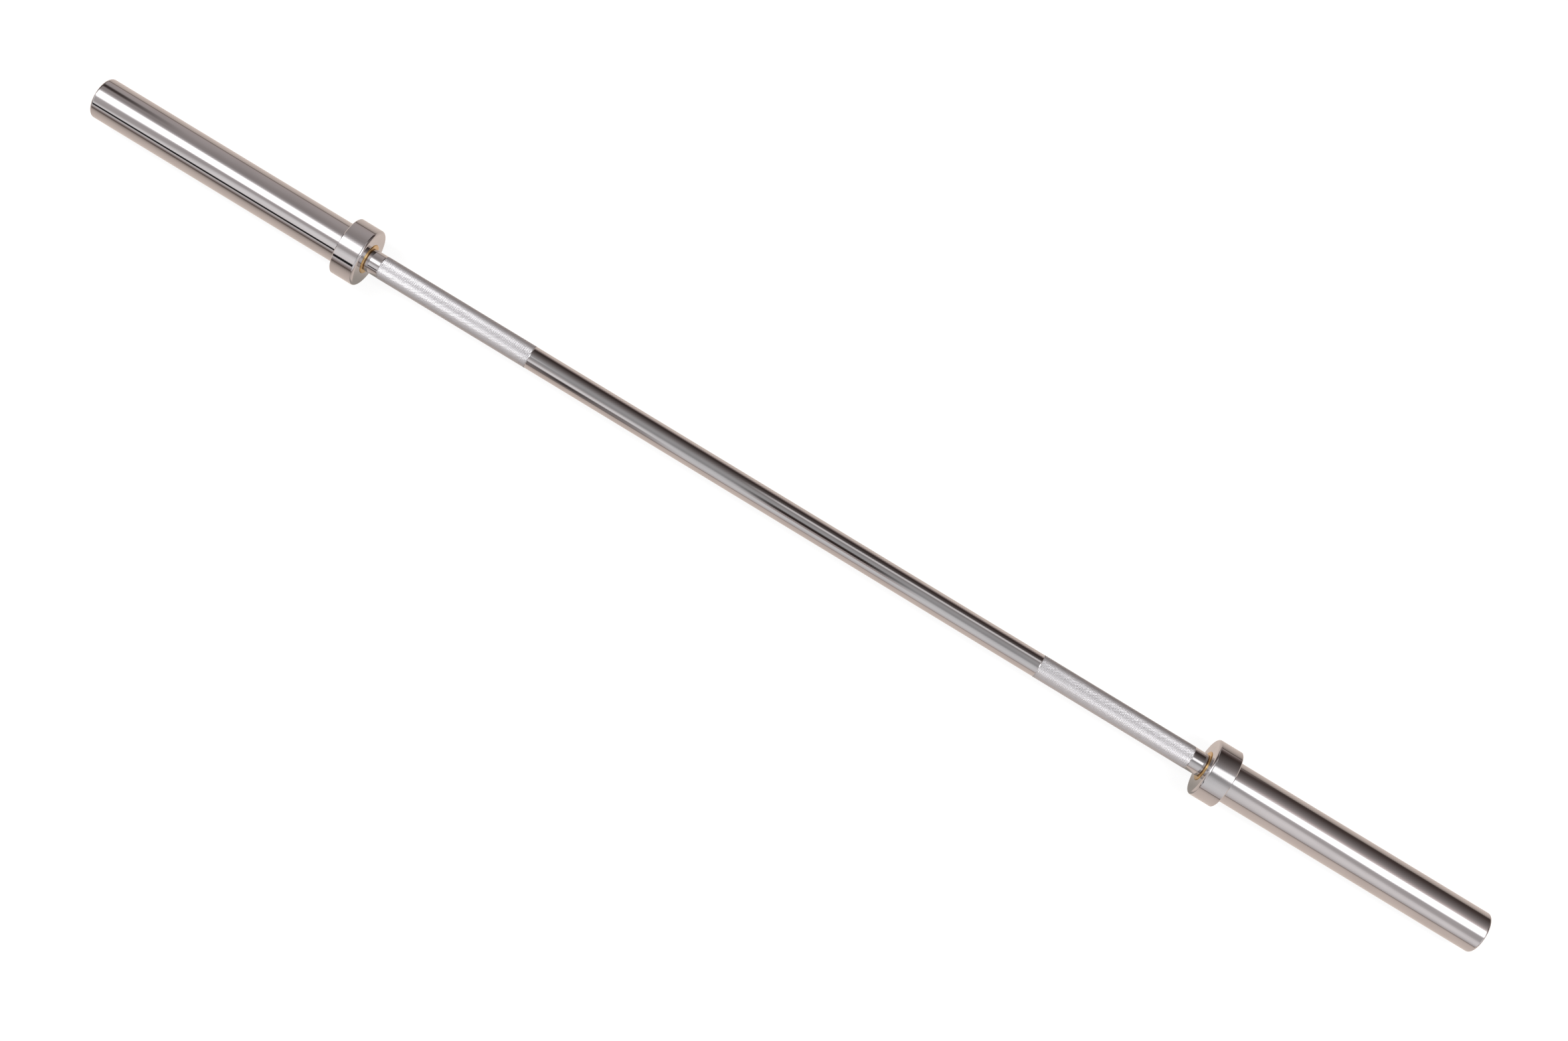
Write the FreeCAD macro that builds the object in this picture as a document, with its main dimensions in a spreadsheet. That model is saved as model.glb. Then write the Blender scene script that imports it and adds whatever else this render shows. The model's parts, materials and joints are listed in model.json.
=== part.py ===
"""Olympic barbell: a straight steel shaft with a collared sleeve turning on each end.

Millimetres. X runs along the bar, Z is up, and the origin is on the axis at mid-length.
The pieces of one end are drawn from the inboard face of its collar, with +X outboard.
The left end is the same end turned half way round about Z.
"""

import FreeCAD
import Part

import os
import re

import Sketcher

SIZES = {
    # Whole bar
    "overall_length": 1830,
    "between_collars": 1110,
    # Fits, all radial but the end play
    "running_clearance": 0.05,
    "seat_clearance": 0.02,
    "end_play": 0.3,
    # Shaft
    "shaft_diameter": 28,
    "smooth_centre": 674,
    "knurl_gap": 18,
    "knurl_undercut": 0.15,
    "knurl_runout": 0.6,
    "shoulder_chamfer": 0.4,
    "journal_diameter": 25,
    "shaft_overhang": 4,
    "shaft_end_chamfer": 1.5,
    # Collar
    "collar_diameter": 71,
    "collar_width": 30,
    "collar_face_round": 3.2,
    "collar_back_chamfer": 1,
    # Sleeve
    "sleeve_diameter": 50,
    "sleeve_end_round": 3,
    "spigot_diameter": 46,
    "spigot_length": 22,
    "spigot_cone": 2,
    "spigot_lead": 0.6,
    "core_bore": 30,
    "stack_bore": 38,
    "end_lip": 3.6,
    "lip_chamfer": 0.6,
    # Bushes
    "bush_diameter": 32,
    "bush_lead": 0.6,
    "inner_bush_length": 40,
    "outer_bush_length": 30,
    "flange_diameter": 37,
    "flange_thickness": 3,
    "flange_proud": 1,
    "flange_chamfer": 0.6,
    # Washers
    "washer_diameter": 36,
    "washer_clearance": 0.1,
    "sleeve_washer_thickness": 1.5,
    "sleeve_washer_clearance": 0.5,
    "thrust_washer_thickness": 2,
    "backing_washer_thickness": 1.5,
    # Snap ring on the shaft
    "shaft_ring_thickness": 1.2,
    "shaft_ring_groove_depth": 0.55,
    "shaft_ring_back_width": 3.2,
    "shaft_ring_tip_width": 2,
    "shaft_ring_gap": 4,
    "shaft_ring_lug_radius": 2.2,
    "shaft_ring_hole": 2,
    "groove_play": 0.1,
    # End cap
    "cap_diameter": 40,
    "cap_thickness": 5,
    "cap_edge_chamfer": 0.5,
    "cap_recess_diameter": 26,
    "cap_recess_depth": 0.6,
    "cap_space": 5,
    # Snap ring over the end cap
    "cap_ring_thickness": 1.75,
    "cap_ring_groove_depth": 1.25,
    "cap_ring_back_width": 3.9,
    "cap_ring_tip_width": 2.3,
    "cap_ring_gap": 6,
    "cap_ring_lug_radius": 2.5,
    "cap_ring_lug_inset": 3.5,
    "cap_ring_hole": 2.5,
}
MATCH_SHARE = 1e-7

# Stations along one end, from the collar's inboard face outwards
COLLAR_FACE = "between_collars / 2"
SPIGOT_START = "collar_width - spigot_length"
CONE_START = "collar_width - spigot_cone"
SLEEVE_END = "overall_length / 2 - between_collars / 2"
CAP_GROOVE_OUT = f"{SLEEVE_END} - end_lip"
CAP_GROOVE_IN = f"{CAP_GROOVE_OUT} - groove_play - cap_ring_thickness"
CAP_SEAT = f"{CAP_GROOVE_IN} - cap_thickness"
SHAFT_END = f"{CAP_SEAT} - cap_space"
RING_OUT = f"{SHAFT_END} - shaft_overhang"
RING_IN = f"{RING_OUT} - shaft_ring_thickness"
BACKING_IN = f"{RING_IN} - backing_washer_thickness"
THRUST_IN = f"{BACKING_IN} - thrust_washer_thickness"
SLEEVE_WASHER_IN = f"{THRUST_IN} - end_play - sleeve_washer_thickness"
OUTER_BUSH_IN = f"{SLEEVE_WASHER_IN} - outer_bush_length"

# Radii that two pieces share
JOURNAL = "journal_diameter / 2"
SHAFT_GROOVE = f"{JOURNAL} - shaft_ring_groove_depth"
BUSH_BORE = f"{JOURNAL} + running_clearance"
BUSH_SEAT = "bush_diameter / 2 + seat_clearance"
CAP_BORE = "cap_diameter / 2 + seat_clearance"
CAP_GROOVE = f"{CAP_BORE} + cap_ring_groove_depth"

document = FreeCAD.newDocument("olympic_barbell")
sheet = document.addObject("Spreadsheet::Sheet", "Sizes")
for row, (alias, number) in enumerate(SIZES.items(), start=1):
    sheet.set(f"A{row}", alias)
    sheet.set(f"B{row}", str(number))
    sheet.setAlias(f"B{row}", alias)
document.recompute()


def expression(formula):
    """A formula in the sheet's names, as the document writes it."""
    return re.sub(r"[a-z]\w*", r"Sizes.\g<0>", formula)


def number_of(formula):
    """What a formula comes to with the sheet as it stands."""
    return float(sheet.evalExpression(expression(formula)))


def bind(thing, property_path, formula):
    """Ties one property of a document object to a formula."""
    thing.setExpression(property_path, expression(formula))


def body_named(label):
    """An empty body whose label names its file."""
    body = document.addObject("PartDesign::Body", label)
    body.Label = label
    return body


def sketch_on(body, role, station="0"):
    """A sketch on one of the body's own planes, raised to a station along the plane's normal."""
    plane = next(item for item in body.Origin.OriginFeatures if item.Role == role)
    sketch = body.newObject("Sketcher::SketchObject", f"{body.Name}_sketch")
    sketch.AttachmentSupport = (plane, [""])
    sketch.MapMode = "FlatFace"
    if station != "0":
        bind(sketch, "AttachmentOffset.Base.z", station)
    return sketch


def hold_point(sketch, geometry, place, formulas):
    """Fixes one point of a sketch by the formulas of its two coordinates."""
    origin = (-1, 1)
    for formula, kind, axis in zip(formulas, ("DistanceX", "DistanceY"), (-2, -1)):
        if formula == "0":
            sketch.addConstraint(Sketcher.Constraint("PointOnObject", geometry, place, axis))
            continue
        distance = number_of(formula)
        ends = (*origin, geometry, place)
        if formula.startswith("-"):
            ends = (geometry, place, *origin)
            formula = formula[1:]
        index = sketch.addConstraint(Sketcher.Constraint(kind, *ends, abs(distance)))
        bind(sketch, f"Constraints[{index}]", formula)


def draw_outline(sketch, corners):
    """A closed outline of straight edges whose corners follow their formulas."""
    points = [FreeCAD.Vector(number_of(x), number_of(y), 0) for x, y in corners]
    for start, end in zip(points, points[1:] + points[:1]):
        sketch.addGeometry(Part.LineSegment(start, end))
    for line, corner in enumerate(corners):
        previous = (line - 1) % len(corners)
        sketch.addConstraint(Sketcher.Constraint("Coincident", previous, 2, line, 1))
        hold_point(sketch, line, 1, corner)


def draw_circle(sketch, centre, radius):
    """A circle whose centre and radius follow their formulas."""
    middle = FreeCAD.Vector(number_of(centre[0]), number_of(centre[1]), 0)
    normal = FreeCAD.Vector(0, 0, 1)
    circle = sketch.addGeometry(Part.Circle(middle, normal, number_of(radius)))
    hold_point(sketch, circle, 3, centre)
    index = sketch.addConstraint(Sketcher.Constraint("Radius", circle, number_of(radius)))
    bind(sketch, f"Constraints[{index}]", radius)


def add_feature(body, kind, name, **settings):
    """One more feature at the end of a body's history."""
    document.recompute()
    feature = body.newObject(f"PartDesign::{kind}", f"{body.Name}_{name}")
    for setting, content in settings.items():
        setattr(feature, setting, content)
    body.Tip = feature
    return feature


def turn(body, corners):
    """Turns a half section about the bar's axis."""
    sketch = sketch_on(body, "XZ_Plane")
    draw_outline(sketch, corners)
    return add_feature(body, "Revolution", "turned", Profile=sketch, ReferenceAxis=(sketch, ["H_Axis"]))


def round_edge(body, name, station, radius, size):
    """Rounds the circular edge at a station and a radius."""
    document.recompute()
    tolerance = number_of("overall_length") * MATCH_SHARE
    base = body.Tip
    found = []
    for index, edge in enumerate(base.Shape.Edges, start=1):
        curve = edge.Curve
        if not isinstance(curve, Part.Circle):
            continue
        off_station = abs(curve.Center.x - number_of(station))
        off_radius = abs(curve.Radius - number_of(radius))
        if max(off_station, off_radius) < tolerance:
            found.append(f"Edge{index}")
    fillet = add_feature(body, "Fillet", name, Base=(base, found))
    bind(fillet, "Radius", size)


def cut_through(body, name, sketch):
    """Cuts a sketch through the whole piece, and makes sure that it met the piece."""
    document.recompute()
    before = body.Tip.Shape.Volume
    add_feature(body, "Pocket", name, Profile=sketch, Type="ThroughAll", Reversed=True)
    document.recompute()
    if not body.Tip.Shape.Volume < before:
        raise RuntimeError(f"{body.Label}: {name} cuts nothing")


def add_shaft():
    """The one-piece bar: smooth centre, knurl bands turned a little under, shoulders and journals."""
    body = body_named("shaft")
    full = "shaft_diameter / 2"
    band = f"{full} - knurl_undercut"
    knurl_in = "smooth_centre / 2"
    knurl_out = f"{COLLAR_FACE} - knurl_gap"
    shoulder = f"{COLLAR_FACE} - flange_proud - end_play"
    groove_in = f"{COLLAR_FACE} + {RING_IN} - groove_play"
    groove_out = f"{COLLAR_FACE} + {RING_OUT} + groove_play"
    end = f"{COLLAR_FACE} + {SHAFT_END}"
    half = turn(body, [
        ("0", "0"),
        ("0", full),
        (knurl_in, full),
        (f"{knurl_in} + knurl_runout", band),
        (f"{knurl_out} - knurl_runout", band),
        (knurl_out, full),
        (f"{shoulder} - shoulder_chamfer", full),
        (shoulder, f"{full} - shoulder_chamfer"),
        (shoulder, JOURNAL),
        (groove_in, JOURNAL),
        (groove_in, SHAFT_GROOVE),
        (groove_out, SHAFT_GROOVE),
        (groove_out, JOURNAL),
        (f"{end} - shaft_end_chamfer", JOURNAL),
        (end, f"{JOURNAL} - shaft_end_chamfer"),
        (end, "0"),
    ])
    middle = next(item for item in body.Origin.OriginFeatures if item.Role == "YZ_Plane")
    add_feature(body, "Mirrored", "both_ends", Originals=[half], MirrorPlane=(middle, [""]))
    return body


def add_collar(label):
    """The stop ring, bored and countersunk for the sleeve's spigot, and recessed for the bush's flange."""
    body = body_named(label)
    rim = "collar_diameter / 2"
    socket = "spigot_diameter / 2 + seat_clearance"
    mouth = "sleeve_diameter / 2 + seat_clearance"
    flange_pocket = "flange_diameter / 2 + seat_clearance"
    flange_seat = "flange_thickness - flange_proud"
    turn(body, [
        ("0", flange_pocket),
        ("0", rim),
        ("collar_width - collar_back_chamfer", rim),
        ("collar_width", f"{rim} - collar_back_chamfer"),
        ("collar_width", mouth),
        (CONE_START, socket),
        (SPIGOT_START, socket),
        (SPIGOT_START, BUSH_SEAT),
        (flange_seat, BUSH_SEAT),
        (flange_seat, flange_pocket),
    ])
    round_edge(body, "face_round", "0", rim, "collar_face_round")
    return body


def add_sleeve(label):
    """The tube that carries the plates: a coned spigot, a bush seat at each end and a stepped mouth."""
    body = body_named(label)
    wall = "sleeve_diameter / 2"
    spigot = "spigot_diameter / 2"
    core = "core_bore / 2"
    stack = "stack_bore / 2"
    turn(body, [
        (SPIGOT_START, BUSH_SEAT),
        (SPIGOT_START, f"{spigot} - spigot_lead"),
        (f"{SPIGOT_START} + spigot_lead", spigot),
        (CONE_START, spigot),
        ("collar_width", wall),
        (SLEEVE_END, wall),
        (SLEEVE_END, f"{CAP_BORE} + lip_chamfer"),
        (f"{SLEEVE_END} - lip_chamfer", CAP_BORE),
        (CAP_GROOVE_OUT, CAP_BORE),
        (CAP_GROOVE_OUT, CAP_GROOVE),
        (CAP_GROOVE_IN, CAP_GROOVE),
        (CAP_GROOVE_IN, CAP_BORE),
        (CAP_SEAT, CAP_BORE),
        (CAP_SEAT, stack),
        (SLEEVE_WASHER_IN, stack),
        (SLEEVE_WASHER_IN, BUSH_SEAT),
        (OUTER_BUSH_IN, BUSH_SEAT),
        (OUTER_BUSH_IN, core),
        ("inner_bush_length", core),
        ("inner_bush_length", BUSH_SEAT),
    ])
    round_edge(body, "end_round", SLEEVE_END, wall, "sleeve_end_round")
    return body


def add_inner_bush(label):
    """The flanged bush: its flange stands proud of the collar and faces the shaft's shoulder."""
    body = body_named(label)
    flange = "flange_diameter / 2"
    outside = "bush_diameter / 2"
    flange_back = "flange_thickness - flange_proud"
    turn(body, [
        ("-flange_proud", BUSH_BORE),
        ("-flange_proud", f"{flange} - flange_chamfer"),
        ("-(flange_proud - flange_chamfer)", flange),
        (flange_back, flange),
        (flange_back, outside),
        ("inner_bush_length - bush_lead", outside),
        ("inner_bush_length", f"{outside} - bush_lead"),
        ("inner_bush_length", BUSH_BORE),
    ])
    return body


def add_outer_bush(label):
    """The plain bush at the sleeve's outer end, with a lead for pressing it in."""
    body = body_named(label)
    outside = "bush_diameter / 2"
    turn(body, [
        (OUTER_BUSH_IN, BUSH_BORE),
        (OUTER_BUSH_IN, f"{outside} - bush_lead"),
        (f"{OUTER_BUSH_IN} + bush_lead", outside),
        (SLEEVE_WASHER_IN, outside),
        (SLEEVE_WASHER_IN, BUSH_BORE),
    ])
    return body


def add_washer(label, inboard, outboard, bore, rim):
    """A flat washer between two stations."""
    body = body_named(label)
    turn(body, [
        (inboard, bore),
        (inboard, rim),
        (outboard, rim),
        (outboard, bore),
    ])
    return body


def add_end_cap(label):
    """The disc that closes the sleeve, with a chamfered edge and a shallow round recess outside."""
    body = body_named(label)
    outside = f"{CAP_SEAT} + cap_thickness"
    rim = "cap_diameter / 2"
    recess = "cap_recess_diameter / 2"
    floor = f"{outside} - cap_recess_depth"
    turn(body, [
        (CAP_SEAT, "0"),
        (CAP_SEAT, rim),
        (f"{outside} - cap_edge_chamfer", rim),
        (outside, f"{rim} - cap_edge_chamfer"),
        (outside, f"{recess} + cap_recess_depth"),
        (floor, recess),
        (floor, "0"),
    ])
    return body


def add_snap_ring(label, station, name, seat, grips_shaft, lug_height):
    """An open spring ring, widest at its back, with two holed lugs at its gap."""
    body = body_named(label)
    mean_width = f"({name}_back_width + {name}_tip_width) / 2"
    shift = f"({name}_back_width - {name}_tip_width) / 2"
    lug = f"{name}_lug_radius"
    lug_places = [(f"{sign}({name}_gap / 2 + {lug})", lug_height) for sign in ("", "-")]
    free_edge = f"{seat} + {mean_width}" if grips_shaft else f"{seat} - {mean_width}"

    band = sketch_on(body, "YZ_Plane", station)
    draw_circle(band, ("0", "0"), seat)
    draw_circle(band, ("0", f"-{shift}" if grips_shaft else shift), free_edge)
    bind(add_feature(body, "Pad", "band", Profile=band), "Length", f"{name}_thickness")

    lugs = sketch_on(body, "YZ_Plane", station)
    for place in lug_places:
        draw_circle(lugs, place, lug)
    bind(add_feature(body, "Pad", "lugs", Profile=lugs), "Length", f"{name}_thickness")

    gap = sketch_on(body, "YZ_Plane", station)
    half_gap = f"{name}_gap / 2"
    top = f"{seat} + {name}_back_width"
    draw_outline(gap, [(f"-{half_gap}", "0"), (half_gap, "0"), (half_gap, top), (f"-{half_gap}", top)])
    cut_through(body, "gap", gap)

    holes = sketch_on(body, "YZ_Plane", station)
    for place in lug_places:
        draw_circle(holes, place, f"{name}_hole / 2")
    cut_through(body, "holes", holes)
    return body


def add_end(side):
    """Every piece of one end, drawn from the collar's inboard face."""
    on_journal = f"{JOURNAL} + washer_clearance"
    washer_rim = "washer_diameter / 2"
    return [
        add_collar(f"{side}_collar"),
        add_sleeve(f"{side}_sleeve"),
        add_inner_bush(f"{side}_inner_bush"),
        add_outer_bush(f"{side}_outer_bush"),
        add_washer(
            f"{side}_sleeve_washer",
            SLEEVE_WASHER_IN,
            f"{SLEEVE_WASHER_IN} + sleeve_washer_thickness",
            f"{JOURNAL} + sleeve_washer_clearance",
            "stack_bore / 2 - seat_clearance",
        ),
        add_washer(f"{side}_thrust_washer", THRUST_IN, BACKING_IN, on_journal, washer_rim),
        add_washer(f"{side}_backing_washer", BACKING_IN, RING_IN, on_journal, washer_rim),
        add_snap_ring(
            f"{side}_shaft_snap_ring",
            RING_IN,
            "shaft_ring",
            f"{SHAFT_GROOVE} + seat_clearance",
            grips_shaft=True,
            lug_height=f"{JOURNAL} + shaft_ring_lug_radius",
        ),
        add_end_cap(f"{side}_end_cap"),
        add_snap_ring(
            f"{side}_cap_snap_ring",
            CAP_GROOVE_IN,
            "cap_ring",
            f"{CAP_GROOVE} - seat_clearance",
            grips_shaft=False,
            lug_height=f"{CAP_BORE} - cap_ring_lug_inset",
        ),
    ]


def place_end(bodies, sign, degrees):
    """Turns one end about Z and puts it where its collar stands on the bar."""
    upright = FreeCAD.Vector(0, 0, 1)
    for body in bodies:
        body.Placement.Rotation = FreeCAD.Rotation(upright, degrees)
        bind(body, "Placement.Base.x", f"{sign}{COLLAR_FACE}")


def check(bodies):
    """Stops unless every object recomputed and every piece is one sound solid."""
    failed = [item.Name for item in document.Objects if {"Invalid", "Error"} & set(item.State)]
    if failed:
        raise RuntimeError(f"failed objects: {failed}")
    for body in bodies:
        shape = body.Shape
        if shape.isNull() or not shape.isValid() or len(shape.Solids) != 1:
            raise RuntimeError(f"{body.Label} is not one valid solid")


right_end = add_end("right")
place_end(right_end, sign="", degrees=0)
left_end = add_end("left")
place_end(left_end, sign="-", degrees=180)
pieces = [add_shaft(), *right_end, *left_end]
document.recompute()
check(pieces)

os.makedirs("parts", exist_ok=True)
for piece in pieces:
    piece.Shape.exportStep(f"parts/{piece.Label}.step")
    print(f"{piece.Label}: {piece.Shape.Volume:.1f} mm3")
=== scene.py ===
# %% [markdown]
# # An olympic barbell in a plain studio
# A barbell is almost all mirror: a chromed shaft, two chromed collars and two chromed sleeves. A mirror
# has no colour of its own, so its picture is made by three things: a studio worth reflecting, true
# outlines, and small rounds at every edge. This notebook sets up the camera and the studio first, then
# turns the pieces one after another, and ends with their finishes.

import json
import math

import bpy
from mathutils import Matrix, Vector


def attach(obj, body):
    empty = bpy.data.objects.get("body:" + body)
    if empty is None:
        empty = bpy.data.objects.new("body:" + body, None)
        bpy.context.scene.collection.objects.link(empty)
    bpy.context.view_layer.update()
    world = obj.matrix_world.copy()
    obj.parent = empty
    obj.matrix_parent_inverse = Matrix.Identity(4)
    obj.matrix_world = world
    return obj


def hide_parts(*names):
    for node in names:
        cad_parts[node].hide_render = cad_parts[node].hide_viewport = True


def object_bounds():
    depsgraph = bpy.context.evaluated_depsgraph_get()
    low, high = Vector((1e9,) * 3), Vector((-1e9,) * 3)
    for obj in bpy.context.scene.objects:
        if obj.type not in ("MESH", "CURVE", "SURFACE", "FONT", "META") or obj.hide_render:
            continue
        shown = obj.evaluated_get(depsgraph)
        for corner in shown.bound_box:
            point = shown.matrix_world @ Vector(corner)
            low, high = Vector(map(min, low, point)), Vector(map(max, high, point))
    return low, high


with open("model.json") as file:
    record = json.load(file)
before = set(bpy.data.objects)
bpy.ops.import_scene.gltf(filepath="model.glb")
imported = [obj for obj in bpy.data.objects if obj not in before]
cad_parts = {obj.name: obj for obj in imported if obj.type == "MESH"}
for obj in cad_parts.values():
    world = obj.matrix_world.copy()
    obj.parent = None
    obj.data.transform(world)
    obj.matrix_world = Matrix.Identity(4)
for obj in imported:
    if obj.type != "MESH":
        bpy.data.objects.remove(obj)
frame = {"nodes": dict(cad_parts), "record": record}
cad_low, cad_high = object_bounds()
nodes = frame["nodes"]
MM = 0.001
SIDES = ("left", "right")
print(f"{len(nodes)} solids, {(cad_high.x - cad_low.x) / MM:.0f} mm from end to end")

# %% [markdown]
# ## The camera
# The bar is photographed from above, a little from its near side, and lies across the picture from top
# left to bottom right. The camera could be dragged into place by eye. Working its axes out from three
# angles is exact and says what each angle does: how far it leans from the vertical, how far it is turned
# towards the right end, and how far the picture is rolled.

# %% Camera
PICTURE_WIDE = 2361
FOCAL_PIXELS = 2875
SENSOR_WIDE = 36
DISTANCE = 2.170
LEAN = math.radians(12.5)
TURN = math.radians(1.45)
ROLL = math.radians(31.287)
AIM_RIGHT = 0.5 * MM
AIM_UP = -10.9 * MM

towards = Vector((math.sin(TURN), -math.sin(LEAN) * math.cos(TURN), math.cos(LEAN) * math.cos(TURN)))
along = (Vector((1, 0, 0)) - towards * towards.x).normalized()
across = towards.cross(along)
right = along * math.cos(ROLL) + across * math.sin(ROLL)
up = across * math.cos(ROLL) - along * math.sin(ROLL)

bpy.ops.object.select_all(action="DESELECT")
bpy.ops.object.camera_add()
camera = bpy.context.object
camera.name = "camera"
camera.data.sensor_width = SENSOR_WIDE
camera.data.lens = SENSOR_WIDE * FOCAL_PIXELS / PICTURE_WIDE
camera.location = towards * DISTANCE + right * AIM_RIGHT + up * AIM_UP
camera.rotation_euler = Matrix((right, up, towards)).transposed().to_euler()
bpy.context.scene.camera = camera
bpy.context.scene.view_settings.view_transform = "Standard"
print(f"lens {camera.data.lens:.1f} mm, {camera.location.z:.2f} m above the bar")

# %% [markdown]
# ## Sums in shaders
# A finish is a sum of patterns. Adding every Math node by hand hides the sum, so this class wraps a
# socket and lets Python's own signs add the nodes. One method adds every other kind of node.


# %% Shader sums
class Wire:
    """A socket that can stand in a Python sum."""

    def __init__(self, tree, socket):
        self.tree = tree
        self.socket = socket

    @classmethod
    def node(cls, tree, kind, settings=None, inputs=None, output=0):
        """Adds a node, sets it up, feeds its sockets and returns one of its outputs."""
        made = tree.nodes.new(kind)
        for name, content in (settings or {}).items():
            if name == "stops":
                cls.set_stops(made.color_ramp.elements, content)
            else:
                setattr(made, name, content)
        for name, content in (inputs or {}).items():
            if isinstance(content, cls):
                tree.links.new(content.socket, made.inputs[name])
            else:
                made.inputs[name].default_value = content
        return cls(tree, made.outputs[output]) if made.outputs else None

    @staticmethod
    def set_stops(elements, stops):
        """Gives a ramp its stops, each a place and a colour."""
        while len(elements) < len(stops):
            elements.new(1)
        for element, (place, colour) in zip(elements, stops):
            element.position = place
            element.color = (*colour, 1)

    @classmethod
    def maths(cls, operation, *terms):
        """Adds a Math node on these terms, at least one of which is a wire."""
        tree = next(term.tree for term in terms if isinstance(term, cls))
        return cls.node(tree, "ShaderNodeMath", {"operation": operation}, dict(enumerate(terms)))

    def __add__(self, other):
        return Wire.maths("ADD", self, other)

    def __sub__(self, other):
        return Wire.maths("SUBTRACT", self, other)

    def __rsub__(self, other):
        return Wire.maths("SUBTRACT", other, self)

    def __mul__(self, other):
        return Wire.maths("MULTIPLY", self, other)

    def __truediv__(self, other):
        return Wire.maths("DIVIDE", self, other)

    def __rtruediv__(self, other):
        return Wire.maths("DIVIDE", other, self)

    __radd__ = __add__
    __rmul__ = __mul__

    def part(self, axis):
        """One axis of a vector."""
        return Wire.node(self.tree, "ShaderNodeSeparateXYZ", inputs={"Vector": self}, output=axis)

    def between(self, low, high):
        """Rises smoothly from 0 at low to 1 at high."""
        inputs = {"Value": self, "From Min": low, "From Max": high}
        return Wire.node(self.tree, "ShaderNodeMapRange", {"interpolation_type": "SMOOTHSTEP"}, inputs)

    def mix(self, first, second):
        """The first colour where this is 0 and the second where it is 1."""
        inputs = {0: self, 6: first, 7: second}
        return Wire.node(self.tree, "ShaderNodeMix", {"data_type": "RGBA"}, inputs, output=2)

    def noise(self, stretch, detail):
        """Soft noise on these coordinates, with so many blotches to the metre along each axis."""
        turned = Wire.node(self.tree, "ShaderNodeMapping", inputs={"Vector": self, "Scale": stretch})
        inputs = {"Vector": turned, "Scale": 1.0, "Detail": detail}
        return Wire.node(self.tree, "ShaderNodeTexNoise", inputs=inputs, output="Fac")


def distance(first, second):
    """Distance from the place where both are 0."""
    return Wire.maths("SQRT", first * first + second * second)


def fresh_tree(owner):
    """Empties the node tree of a material, a lamp or a world."""
    owner.use_nodes = True
    owner.node_tree.nodes.clear()
    return owner.node_tree


def grey(level, warm=0.0):
    """A grey of this level, with more red the warmer it is."""
    return (level * (1 + warm), level, level * (1 - warm / 4), 1.0)


# %% [markdown]
# ## The studio
# Chrome shows what stands round it, so the studio is built for the mirror. Real walls would stand in the
# way of a camera that walks round the bar, so the room is painted on the world by direction. `lean` is
# how far a ray leans from straight up, in degrees about the bar: below 0 it looks to the far side and
# above 0 to the near side. `sideways` is how far it points to the right. The far side is a dim room and
# the near side a pale wall. Three lists of shades run from the far horizon over the top to the near one,
# for the left, the middle and the right of the room. Each shade has its lean, its level and its warmth.
# The foot of the pale wall slants up towards both ends.

# %% World
LEFT_ROOM = [
    (-90, 0.42, 0.18),
    (-80, 0.47, 0.12),
    (-62, 0.44, 0.10),
    (-40, 0.35, 0.12),
    (-28, 0.35, 0.10),
    (-20, 0.50, 0.08),
    (-12, 1.10, 0.02),
    (13, 1.10, 0.02),
    (20, 0.66, 0.06),
    (26, 0.50, 0.07),
    (32, 0.54, 0.06),
    (38, 0.82, 0.03),
    (46, 1.00, 0.02),
    (60, 0.96, 0.04),
    (70, 0.60, 0.06),
    (75, 0.72, 0.07),
    (81, 0.48, 0.10),
    (86, 0.26, 0.20),
    (90, 0.16, 0.35),
]
MIDDLE_ROOM = [
    (-90, 0.42, 0.20),
    (-84, 0.20, 0.25),
    (-78, 0.080, 0.35),
    (-71, 0.035, 0.40),
    (-62, 0.050, 0.28),
    (-50, 0.094, 0.18),
    (-40, 0.135, 0.15),
    (-30, 0.205, 0.12),
    (-20, 0.29, 0.06),
    (-8, 0.42, 0.03),
    (3, 0.47, 0.01),
    (15, 0.43, 0.01),
    (25, 0.41, 0.01),
    (34, 0.66, 0.0),
    (42, 0.79, 0.0),
    (60, 0.865, 0.0),
    (72, 0.83, 0.01),
    (82, 0.68, 0.05),
    (90, 0.58, 0.12),
]
RIGHT_ROOM = [
    (-90, 0.055, 0.35),
    (-80, 0.060, 0.35),
    (-72, 0.078, 0.30),
    (-60, 0.135, 0.18),
    (-50, 0.19, 0.15),
    (-40, 0.275, 0.12),
    (-30, 0.41, 0.12),
    (-24, 0.56, 0.14),
    (-18, 0.86, 0.12),
    (-12, 1.20, 0.0),
    (10, 1.20, 0.0),
    (17, 0.76, 0.03),
    (23, 0.57, 0.06),
    (30, 0.53, 0.06),
    (36, 0.64, 0.06),
    (41, 0.86, 0.04),
    (50, 0.96, 0.04),
    (60, 0.95, 0.04),
    (72, 0.88, 0.04),
    (80, 0.78, 0.05),
    (86, 0.60, 0.06),
    (90, 0.55, 0.12),
]
LEFT_RISE = 20
LEFT_RISE_SPAN = (-0.32, -0.42)
RIGHT_RISE = 15
RIGHT_RISE_SPAN = (0.24, 0.38)
WALL_FOOT = (16, 52)
WALL_TOP = (84, 58)
LEFT_EDGE = 0.215
LEFT_EDGE_SHIFT = 0.10
LEFT_EDGE_LEANS = (18, 32)
LEFT_EDGE_SOFT = 0.035
RIGHT_EDGE = (0.220, 0.262)
FULL_TURN = 360


def on_ramp(degrees):
    """Where a lean lies on a ramp that runs once round the bar."""
    return degrees / FULL_TURN + 0.5


def room_ramp(lean, stops):
    """Shades of the room by lean; each stop has a lean, a level and a warmth."""
    places = [(on_ramp(degrees), grey(level, warm)[:3]) for degrees, level, warm in stops]
    return Wire.node(lean.tree, "ShaderNodeValToRGB", {"stops": places}, {"Fac": on_ramp(lean)})


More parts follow.
